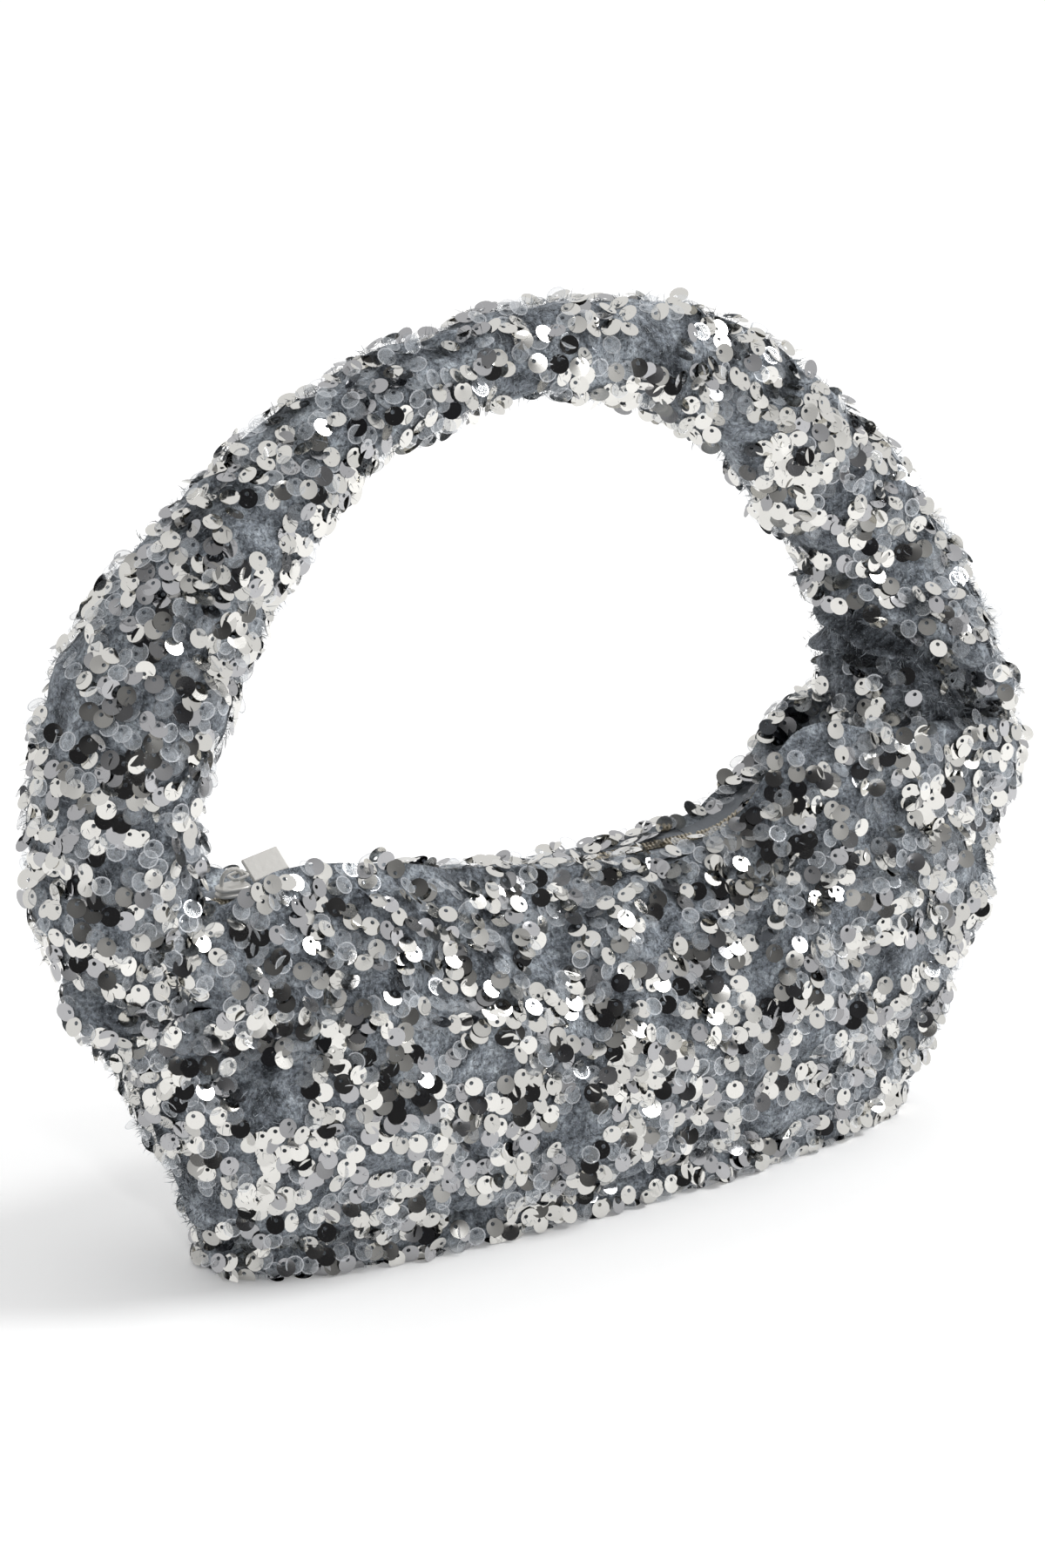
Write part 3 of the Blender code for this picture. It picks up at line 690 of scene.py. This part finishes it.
def base_grid(columns=300):
    """Boxed base: its strip, the rounded lower edge and the start of the underside."""
    turn = np.linspace(0, 2 * math.pi, columns, endpoint=False)[None, :]
    x, y = outline(turn, BASE_ROUNDNESS)
    height = np.array([h for h, _ in BASE_RINGS])[:, None]
    out = np.array([o for _, o in BASE_RINGS])[:, None]
    depth = np.maximum(BASE_DEPTH + out, 0.01)
    return np.stack(np.broadcast_arrays((BASE_LENGTH + out) * x, depth * y, height), axis=-1)


base = base_grid()
base_skin = grid_object("base_velvet", base, True, VELVET)

# top edges of the finished cloth, front and back, read off against X
top_row = body[-1]


def edge_of(front):
    """Functions of X for the Y and Z of one top edge."""
    side = top_row[top_row[:, 1] < 0] if front else top_row[top_row[:, 1] > 0]
    side = side[np.argsort(side[:, 0])]
    return (lambda x: np.interp(x, side[:, 0], side[:, 1]),
            lambda x: np.interp(x, side[:, 0], side[:, 2]))


front_y, front_z = edge_of(True)
back_y, back_z = edge_of(False)


ZIP_END_Z, ZIP_SAG = 99.0, 11.0
SAG_FROM, SAG_WIDTH = 88.0, 30.0


def zip_height(x):
    """Height of the sagging zip, a little under the hem."""
    away = np.abs(x - LEAN_X)
    return ZIP_END_Z - ZIP_SAG * ease((SAG_FROM - away) / SAG_WIDTH)


UNDER_ZIP, CHANNEL_ROUNDNESS = 1.4, 3.0


def channel_grid(x_from, x_to, rise_at, rise_to, rows=44, columns=31):
    """Cloth between the two top edges at one end of the mouth, rising under the handle."""
    x = np.linspace(x_from, x_to, rows)[:, None]
    v = np.linspace(-1, 1, columns)[None, :]
    y = np.where(v < 0, -v * front_y(x), v * back_y(x))
    rise = ease((x - rise_at) / (rise_to - rise_at))
    edge = np.where(v < 0, front_z(x), back_z(x))
    bottom = (zip_height(x) - UNDER_ZIP) * (1 - rise) + (edge + 1.0) * rise
    z = bottom + (edge - bottom) * np.abs(v) ** CHANNEL_ROUNDNESS
    grid = np.stack(np.broadcast_arrays(x, y, z), axis=-1)
    return grid[:, ::-1]


RIGHT_FOOT, LEFT_FOOT = 118.0, -114.0        # the handle's feet from the middle of the mouth
RIGHT_TUCK, LEFT_TUCK = 82, -112             # where the tucked-in top edge starts
TUCK_REACH, TUCK_ROLL, TUCK_DROP = 0.78, 2.2, 9.0


def ledge_grid(right, rows=9):
    """Top edge of a shoulder, rolled over and tucked in against the handle's foot."""
    foot_x = LEAN_X + (RIGHT_FOOT if right else LEFT_FOOT)
    index = np.flatnonzero(top_row[:, 0] > RIGHT_TUCK if right else top_row[:, 0] < LEFT_TUCK)
    if right:
        index = np.roll(index, -int(np.argmax(np.diff(index) > 1)) - 1)
    edge = top_row[index]
    t = np.linspace(0, 1, rows)[:, None]
    inward = np.array([foot_x, 0.0]) - edge[:, :2]
    reach = TUCK_REACH * (0.6 * ease(t) + 0.4 * t)
    xy = edge[None, :, :2] + inward[None] * reach[..., None]
    roll = TUCK_ROLL * np.sin(math.pi * np.minimum(t * 1.6, 1.0))
    z = edge[None, :, 2] + roll - TUCK_DROP * t ** 2
    return np.concatenate([xy, z[..., None]], axis=-1)


LIP_OPEN, LIP_SHUT, LIP_FADE = 9.2, 3.0, 16.0    # how near the zip's middle the hem comes
OVER_TAPE, OVER_COIL, COIL_HALF = 1.0, 2.4, 2.4
LIP_DROP, LIP_ROLL = 1.6, 1.5


def lip_grid(front, rows=10, columns=120):
    """Edge of the hem, rolled in over the opening part of the zip."""
    x = np.linspace(FLAP_LEFT, FLAP_RIGHT, columns)[None, :]
    t = np.linspace(0, 1, rows)[:, None]
    edge_y, edge_z = (front_y(x), front_z(x)) if front else (back_y(x), back_z(x))
    from_end = np.minimum(x - FLAP_LEFT, FLAP_RIGHT - x)
    inner = LIP_OPEN + (LIP_SHUT - LIP_OPEN) * ease(from_end / LIP_FADE)
    y = np.abs(edge_y) + (inner - np.abs(edge_y)) * t
    low = ZIP_Z + np.where(y < COIL_HALF, OVER_COIL, OVER_TAPE)
    z = edge_z + (low - edge_z) * t ** LIP_DROP + LIP_ROLL * np.sin(math.pi * t)
    sign = -1.0 if front else 1.0
    grid = np.stack(np.broadcast_arrays(x, sign * y, np.maximum(z, low)), axis=-1)
    return grid if front else grid[:, ::-1]


left_channel = channel_grid(-124.0, FLAP_LEFT, -103.0, -118.0)
right_channel = channel_grid(FLAP_RIGHT, 104.0, 87.0, 98.0)
left_throat = grid_object("left_mouth_velvet", left_channel, False, VELVET)
right_throat = grid_object("right_mouth_velvet", right_channel, False, VELVET)
right_ledge, left_ledge = ledge_grid(True), ledge_grid(False)
right_tuck = grid_object("right_tuck_velvet", right_ledge, False, VELVET)
left_tuck = grid_object("left_tuck_velvet", left_ledge, False, VELVET)
front_lip_grid, back_lip_grid = lip_grid(True), lip_grid(False)
front_lip = grid_object("front_lip_velvet", front_lip_grid, False, VELVET)
back_lip = grid_object("back_lip_velvet", back_lip_grid, False, VELVET)


LINING_DEPTH, LINING_FLOOR, LINING_LOW, LINING_TOP = 6.5, 5.6, 7.0, 86.0
PADDING_DEPTH, PADDING_TOP = 4.0, 80.0
FLOOR_SHARE = np.array([0.97, 0.9, 0.0])         # outline of the lining's floor
MIDDLE_SHARE = np.array([0.7, 0.02, 1.0])        # and of the line where it closes


def inside_of(grid, depth):
    """A closed grid of cloth moved inwards along its normals, with half its points."""
    return (grid - vertex_normals(grid, True) * depth)[::2, ::2]


def lining_grid():
    """Lining: follows the cloth a few millimetres inside it, down to a flat bottom."""
    shell = inside_of(rest_body, LINING_DEPTH)
    shell[..., 2] = np.clip(shell[..., 2], LINING_LOW, LINING_TOP)
    floor_row = shell[0] * FLOOR_SHARE + np.array([0, 0, LINING_FLOOR])
    return np.concatenate([(floor_row * MIDDLE_SHARE)[None], floor_row[None], shell])


def padding_grid():
    """Wadding between the cloth and the lining."""
    grid = inside_of(rest_body, PADDING_DEPTH)
    grid[..., 2] = np.minimum(grid[..., 2], PADDING_TOP)
    return grid


lining_skin = grid_object("lining_cloth", lining_grid(), True, LINING)
padding_skin = grid_object("body_wadding", padding_grid(), True, WADDING)


# ---- zip ---------------------------------------------------
COIL_PITCH, COIL_WIRE = 1.25, 0.36
COIL_MIDDLE, COIL_REACH, COIL_RISE = 1.03, 0.88, 0.36    # across and up, for one row
COIL_SLANT = 0.35
COIL_LIFT, COIL_END = 1.0, 0.6
WIRE_SIDES, TURN_STEPS = 6, 10


def flat_zip(x):
    """Height of the straight zip halves, which open."""
    return np.full_like(x, ZIP_Z)


def coil_rows(x_from, x_to, sides, height):
    """Rings of one or two rows of zip teeth, wound from wire; height(x) is the zip's."""
    points, faces = [], []
    count = int((x_to - x_from) / COIL_PITCH * TURN_STEPS)
    turn = np.arange(count) * 2 * math.pi / TURN_STEPS
    around = np.linspace(0, 2 * math.pi, WIRE_SIDES, endpoint=False)[None, :, None]
    for side in sides:
        phase = turn + (0 if side < 0 else math.pi)
        x = x_from + np.arange(count) * COIL_PITCH / TURN_STEPS + COIL_SLANT * np.cos(phase)
        path = np.stack([x, side * (COIL_MIDDLE + COIL_REACH * np.cos(phase)),
                         height(x) + COIL_LIFT + COIL_RISE * np.sin(phase)], axis=1)
        along = np.gradient(path, axis=0)
        along /= np.linalg.norm(along, axis=1)[:, None]
        first = np.cross(along, np.array([1.0, 0.0, 0.0]))
        first /= np.maximum(np.linalg.norm(first, axis=1), 1e-6)[:, None]
        second = np.cross(along, first)
        ring = np.cos(around) * first[:, None] + np.sin(around) * second[:, None]
        faces.append(grid_faces(count, WIRE_SIDES, True) + len(points) * count * WIRE_SIDES)
        points.append((path[:, None] + COIL_WIRE * ring).reshape(-1, 3))
    return np.concatenate(points), np.concatenate(faces)


def coil_piece(node, sides, height):
    """Wound teeth in place of a CAD coil strip, over the same length."""
    low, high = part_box(node)
    x_from, x_to = low[0] / MM + COIL_END, high[0] / MM - COIL_END
    made = mesh_object(node + "_teeth", *coil_rows(x_from, x_to, sides, height), COIL)
    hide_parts(node)
    return made


# share of the height and of the plan for each ring of the slider's body, from below
SLIDER_RINGS = ((0.0, 0.02), (0.0, 0.55), (0.0, 0.92), (0.08, 1.0), (0.26, 1.0), (0.34, 0.97),
                (0.38, 0.80), (0.60, 0.80), (0.64, 0.97), (0.72, 1.0), (0.90, 1.0), (1.0, 0.9),
                (1.0, 0.5), (1.0, 0.02))
SLIDER_ROUNDNESS, SLIDER_TAPER = 3.2, 0.14


def slider_shell():
    """Slider body: two plates with a waist between them, wide at the front, narrow behind."""
    low, high = (np.array(c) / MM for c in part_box("slider_body"))
    middle = (low + high) / 2
    length, width = (high - low)[:2] / 2
    c, s = outline(np.linspace(0, 2 * math.pi, 40, endpoint=False), SLIDER_ROUNDNESS)
    x = length * c
    y = width * s * (1 - SLIDER_TAPER + SLIDER_TAPER * c)
    rings = [np.stack([middle[0] + x * share, middle[1] + y * share,
                       np.full_like(x, low[2] + level * (high - low)[2])], axis=1)
             for level, share in SLIDER_RINGS]
    return grid_object("slider_plates", np.array(rings), True, NICKEL)


# ---- loose pile --------------------------------------------
PILE_LENGTHS = (0.9, 2.4)
PILE_WIDTH = 0.10              # half width at the root
PILE_SCATTER, PILE_LEAN, PILE_DROOP = 0.5, 0.75, np.array([0.1, 0, -0.25])


def pile_strands(name, grid, count, seed, mat):
    """Short tapered fibres standing out of the velvet."""
    draw = np.random.default_rng(seed)
    normals = vertex_normals(grid, False)
    row = draw.integers(1, grid.shape[0] - 1, count)
    col = draw.integers(1, grid.shape[1] - 1, count)
    root = grid[row, col] + draw.normal(0, PILE_SCATTER, (count, 3))
    normal = normals[row, col]
    lean = draw.normal(0, PILE_LEAN, (count, 3)) + PILE_DROOP
    first = normal * 0.8 + lean * 0.6
    first /= np.linalg.norm(first, axis=1)[:, None]
    second = first + lean * 0.7
    second /= np.linalg.norm(second, axis=1)[:, None]
    size = draw.uniform(*PILE_LENGTHS, count)[:, None]
    side = np.cross(first, draw.normal(size=(count, 3)))
    side /= np.linalg.norm(side, axis=1)[:, None]
    middle = root + first * size * 0.6
    tip = middle + second * size * 0.7
    side *= PILE_WIDTH
    points = np.stack([root - side, root + side, middle + side * 0.8, middle - side * 0.8,
                       tip + side * 0.2, tip - side * 0.2], axis=1)
    start = (np.arange(count) * 6)[:, None, None]
    faces = start + np.array([[0, 1, 2, 3], [3, 2, 4, 5]])[None]
    points[..., 2] = np.maximum(points[..., 2], TABLE_GAP)
    return mesh_object(name, points.reshape(-1, 3), faces.reshape(-1, 4), mat)


# ---- sew the sequins on ------------------------------------
bare = waves(77, 26)
BARE_BELOW = -0.86             # no discs where the slow random pattern is lower than this
BARE_NECK = 0.30               # the same for the folded neck, where few discs stay
HEM_Z, HEM_FROM, HEM_TO = 82.0, -78.0, 60.0      # hem of the mouth, fully covered
SLOT_FROM, SLOT_TO, SLOT_HALF = 48.0, 95.0, 8.5  # slot over the closed end of the zip


def keep_sequin(point):
    """False on the bare patches; the hem of the mouth has none of them."""
    at_hem = point[2] > HEM_Z and HEM_FROM < point[0] < HEM_TO
    return at_hem or bare(np.asarray(point)[None])[0] > BARE_BELOW


def keep_off_zip(point):
    """Leaves the slot over the closed end of the zip free."""
    free = bare(np.asarray(point)[None])[0] > BARE_BELOW
    return free and point[0] > SLOT_FROM and (point[0] > SLOT_TO or abs(point[1]) > SLOT_HALF)


def keep_off_recess(point):
    """Leaves the folded neck under the gather nearly bare."""
    point = np.asarray(point)
    low = 0.0 < gathered_angle(point) < RECESS_TOP + 0.8
    return bare(point[None])[0] > (BARE_NECK if low else BARE_BELOW)


def move_body(piece):
    """Stays with the bag."""
    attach(piece, "bag")


def move_shoulder(piece):
    """Piece of the shoulders and the handle: its place is applied to its mesh."""
    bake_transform(piece)


def move_front_lip(piece):
    """Piece of the front half of the mouth: its place is applied to its mesh."""
    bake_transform(piece)


def move_back_lip(piece):
    """Piece of the back half of the mouth: its place is applied to its mesh."""
    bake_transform(piece)


class Field:
    """One stretch of sequinned cloth: stitches planned at rest, taken on the final grid."""

    def __init__(self, name, rest, final, closed, seed, tries, moves, keep=keep_sequin):
        self.name, self.moves, self.seed = name, moves, seed
        plan = stitch_lines(Cloth(rest, closed), seed, tries, keep)
        cloth = Cloth(final, closed)
        self.point = np.array([cloth.sample(cloth.grid, *at) for at in plan])
        normal = np.array([cloth.sample(cloth.normals, *at) for at in plan])
        self.normal = normal / np.linalg.norm(normal, axis=1)[:, None]


base_cloth = base[STRIP_START:]
fields = [Field("body", rest_body, body, True, 1, 2800, move_body),
          Field("base", base_cloth, base_cloth, True, 3, 500, move_body),
          Field("handle", rest_handle, handle, True, 2, 2800, move_shoulder, keep_off_recess),
          Field("front_lip", front_lip_grid, front_lip_grid, False, 4, 400, move_front_lip),
          Field("back_lip", back_lip_grid, back_lip_grid, False, 5, 400, move_back_lip),
          Field("right_mouth", right_channel, right_channel, False, 6, 700, move_body,
                keep_off_zip),
          Field("right_tuck", right_ledge[:6], right_ledge[:6], False, 8, 300, move_shoulder),
          Field("left_tuck", left_ledge[:6], left_ledge[:6], False, 9, 300, move_shoulder)]
KINDS = (("silver", 0.0, 0.50, SILVER), ("pewter", 0.50, 0.66, PEWTER), ("clear", 0.66, 1.0, CLEAR))
for field in fields:
    frames = lay_sequins(field.point, field.normal, field.seed + 10)
    origin = frames[0]
    kind = np.random.default_rng(field.seed + 50).uniform(size=len(origin))
    shoulder = in_collar(origin) & (field.name == "body")
    for label, low, high, mat in KINDS:
        chosen = (kind >= low) & (kind < high)
        for pick, suffix, moves in ((chosen & ~shoulder, "", field.moves),
                                    (chosen & shoulder, "_shoulder", move_shoulder)):
            if pick.any():
                moves(sequin_piece(f"sequins_{label}_{field.name}{suffix}", frames, pick, mat))

# ---- the other pieces: how they move and what they stand for ----
body_pile = pile_strands("body_pile", body[:-8], 11000, 21, PILE)
handle_pile = pile_strands("handle_pile", handle, 11000, 22, PILE)
base_pile = pile_strands("base_pile", base_cloth, 1500, 23, PILE)
body_dark_pile = pile_strands("body_dark_pile", body[:-8], 7000, 24, DARK_PILE)
handle_dark_pile = pile_strands("handle_dark_pile", handle, 7000, 25, DARK_PILE)
slider_plates = slider_shell()
front_teeth = coil_piece("front_zip_coil", (-1,), flat_zip)
back_teeth = coil_piece("back_zip_coil", (1,), flat_zip)
left_teeth = coil_piece("left_end_coil", (-1, 1), zip_height)
right_teeth = coil_piece("right_end_coil", (-1, 1), zip_height)
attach(slider_plates, "slider")
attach(front_teeth, "front_flap")
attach(back_teeth, "back_flap")
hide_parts("slider_body")
move_shoulder(handle_pile)
move_shoulder(handle_dark_pile)
for piece in (body_pile, body_dark_pile, base_pile, left_teeth, right_teeth):
    move_body(piece)

for piece in (collar_skin, handle_skin, handle_wadding, right_tuck, left_tuck):
    move_shoulder(piece)
for piece in (body_skin, base_skin, left_throat, right_throat, lining_skin, padding_skin):
    move_body(piece)
move_front_lip(front_lip)
move_back_lip(back_lip)
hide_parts("front_panel", "back_panel", "left_gusset", "right_gusset")
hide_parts("base_panel")
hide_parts("front_lining", "back_lining", "base_lining")
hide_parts("front_padding", "back_padding")
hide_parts("handle_cover")
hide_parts("handle_core")


def finish_node(node, mat):
    """Gives a CAD piece that stays in view its own finish."""
    for slot in bpy.data.objects[node].material_slots:
        slot.material = mat


for node, mat in (("base_board", BOARD), ("front_zip_tape", TAPE), ("back_zip_tape", TAPE),
                  ("left_zip_end", TAPE), ("right_zip_end", TAPE), ("slider_bridge", NICKEL),
                  ("pull_link", NICKEL), ("pull_tab", NICKEL)):
    finish_node(node, mat)

# ---- camera, light and floor -------------------------------
AZIMUTH, ELEVATION = math.radians(-32.5), math.radians(19.5)
DISTANCE = 1.2448
TARGET = Vector((-0.0129, 0.0, 0.1141))
LENS, SENSOR = 110, 36
TO_CAMERA = Vector((math.sin(AZIMUTH) * math.cos(ELEVATION),
                    -math.cos(AZIMUTH) * math.cos(ELEVATION), math.sin(ELEVATION)))


def place_camera():
    """A long lens in front, a little to the left and above."""
    data = bpy.data.cameras.new("camera")
    data.lens = LENS
    data.sensor_width = SENSOR
    made = bpy.data.objects.new("camera", data)
    made.location = TARGET + TO_CAMERA * DISTANCE
    made.rotation_euler = TO_CAMERA.to_track_quat('Z', 'Y').to_euler()
    bpy.context.collection.objects.link(made)
    bpy.context.scene.camera = made


LIT_POINT = Vector((0, 0, 0.1))
KEY_AT, KEY_SIZE, KEY_POWER = Vector((2.0, -1.0, 2.4)), 1.1, 54
GLINT_AT = TARGET + TO_CAMERA * 1.9 + Vector((0.30, 0.05, 0.30))
GLINT_SIZE, GLINT_POWER = 0.10, 3


def area_light(name, at, size, power):
    """Round white light aimed at the bag."""
    data = bpy.data.lights.new(name, 'AREA')
    data.shape = 'DISK'
    data.size = size
    data.energy = power
    made = bpy.data.objects.new(name, data)
    made.location = at
    made.rotation_euler = (at - LIT_POINT).to_track_quat('Z', 'Y').to_euler()
    bpy.context.collection.objects.link(made)

# how far a direction turns to the camera, and the brightness of the studio there
STUDIO_TONES = ((0.50, (1.0, 1.0, 1.0, 1)), (0.86, (0.02, 0.02, 0.022, 1)),
                (0.70, (0.35, 0.35, 0.35, 1)))
STUDIO_STRENGTH = 0.93


def studio_world():
    """White all round, and dark behind the camera, so that the discs mirror both."""
    world = bpy.data.worlds.new("studio")
    bpy.context.scene.world = world
    world.use_nodes = True
    tree = world.node_tree
    background = tree.nodes["Background"]
    place = tree.nodes.new("ShaderNodeTexCoord")
    facing = tree.nodes.new("ShaderNodeVectorMath")
    facing.operation = 'DOT_PRODUCT'
    facing.inputs[1].default_value = tuple(TO_CAMERA)
    tree.links.new(place.outputs["Generated"], facing.inputs[0])
    ramp = tree.nodes.new("ShaderNodeValToRGB")
    stops = ramp.color_ramp.elements
    for index, (position, tone) in enumerate(STUDIO_TONES):
        stop = stops[index] if index < 2 else stops.new(position)
        stop.position = position
        stop.color = tone
    tree.links.new(facing.outputs["Value"], ramp.inputs["Fac"])
    tree.links.new(ramp.outputs["Color"], background.inputs["Color"])
    background.inputs["Strength"].default_value = STUDIO_STRENGTH


FLOOR_HALF, FLOOR_Z, FLOOR_GLOW = 6000.0, -0.05, 0.14


def studio_floor():
    """White sheet under the bag, slightly lit of itself."""
    paper = plain_material("floor", (0.97, 0.97, 0.97), 0.9, grain=0.02)
    shader = paper.node_tree.nodes["Principled BSDF"]
    shader.inputs["Emission Color"].default_value = (1, 1, 1, 1)
    shader.inputs["Emission Strength"].default_value = FLOOR_GLOW
    corners = [(x * FLOOR_HALF, y * FLOOR_HALF, FLOOR_Z)
               for x, y in ((-1, -1), (1, -1), (1, 1), (-1, 1))]
    return mesh_object("floor", corners, [(0, 1, 2, 3)], paper, smooth=False)


place_camera()
area_light("key", KEY_AT, KEY_SIZE, KEY_POWER)
area_light("glint", GLINT_AT, GLINT_SIZE, GLINT_POWER)
studio_world()
studio_floor()

scene = bpy.context.scene
scene.view_settings.view_transform = 'Standard'
scene.view_settings.look = 'None'
